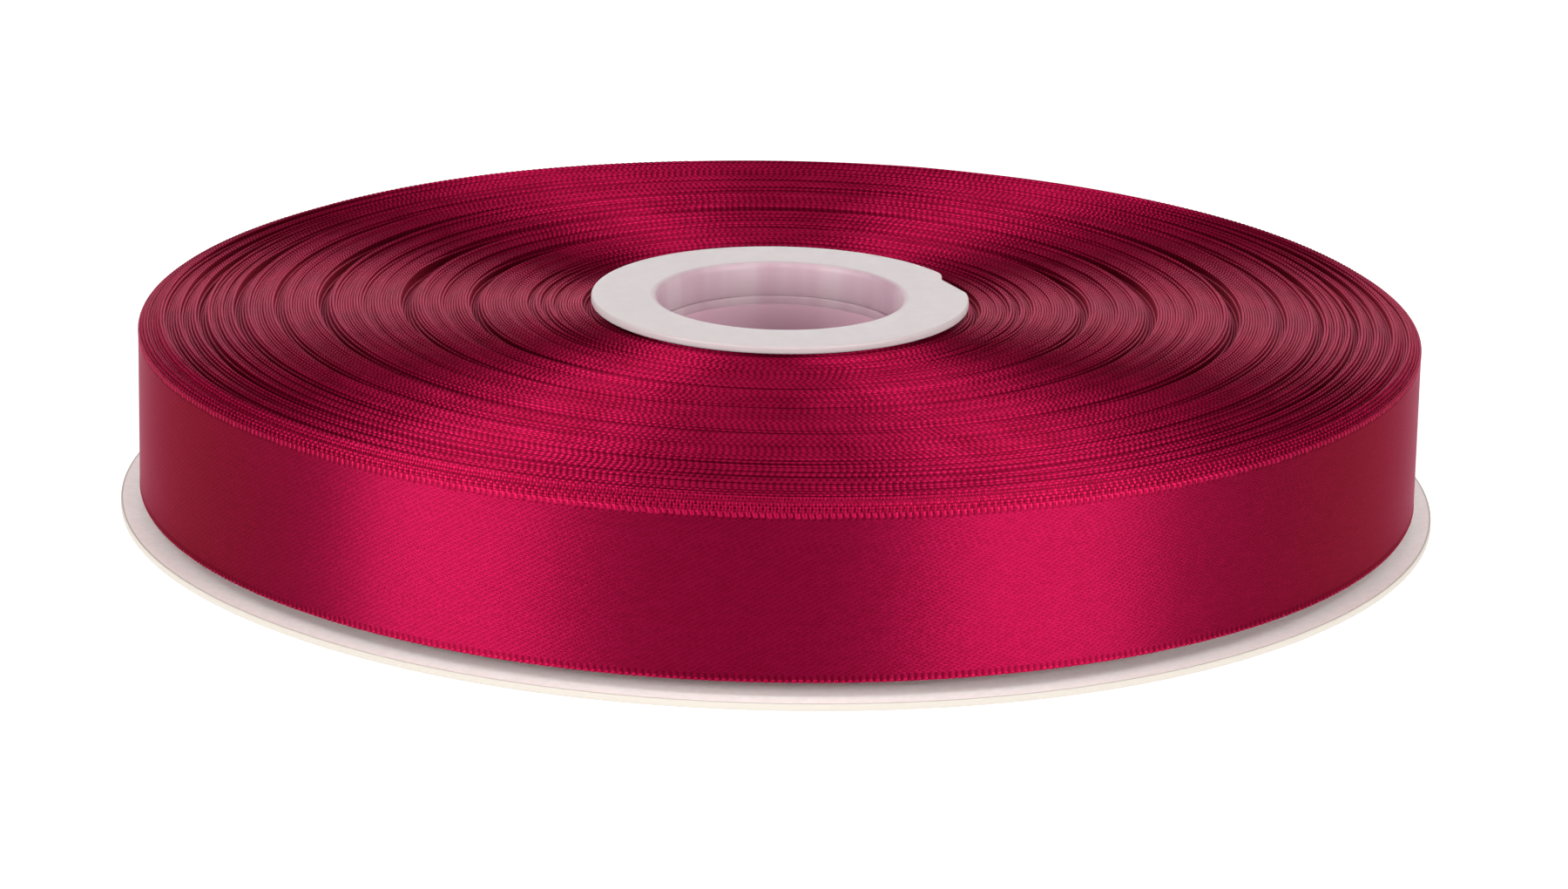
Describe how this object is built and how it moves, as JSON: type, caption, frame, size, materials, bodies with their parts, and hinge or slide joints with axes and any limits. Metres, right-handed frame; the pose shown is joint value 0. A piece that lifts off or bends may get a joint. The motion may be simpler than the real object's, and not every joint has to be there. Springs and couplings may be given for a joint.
{
  "type": "ribbon spool",
  "caption": "Bulk roll of satin ribbon wound on a flanged plastic hub with a spindle bore, over a loose paperboard disc that turns on the hub.",
  "frame": {"origin": "on the axis of the spindle bore, at the face of the lower flange that the spool stands on", "axes": "+Z along the bore from the disc towards the open top, -Y towards the viewer of the front, +X to the viewer's right"},
  "size_m": [0.1296, 0.1296, 0.0218],
  "materials": {
    "hub_plastic": "translucent milky white moulding, satin",
    "disc_board": "white coated paperboard with a cream cut edge",
    "ribbon_satin": "crimson double-faced satin with woven selvage edges",
    "clear_tape": "clear adhesive tape"
  },
  "bodies": {
    "hub_and_roll": {"lower_hub": "hub_plastic", "ribbon_roll": "ribbon_satin", "start_tape": "clear_tape", "end_tape": "clear_tape"},
    "disc": {"base_disc": "disc_board"},
    "hub_top": {"upper_hub": "hub_plastic"}
  },
  "joints": [
    {"name": "disc_turn", "type": "hinge", "parent": "hub_and_roll", "child": "disc", "pos_m": [0, 0, 0.00145], "axis": [0, 0, 1], "continuous": true},
    {"name": "upper_hub_pull", "type": "slide", "parent": "hub_and_roll", "child": "hub_top", "axis": [0, 0, 1], "range_m": [0, 0.012]}
  ]
}
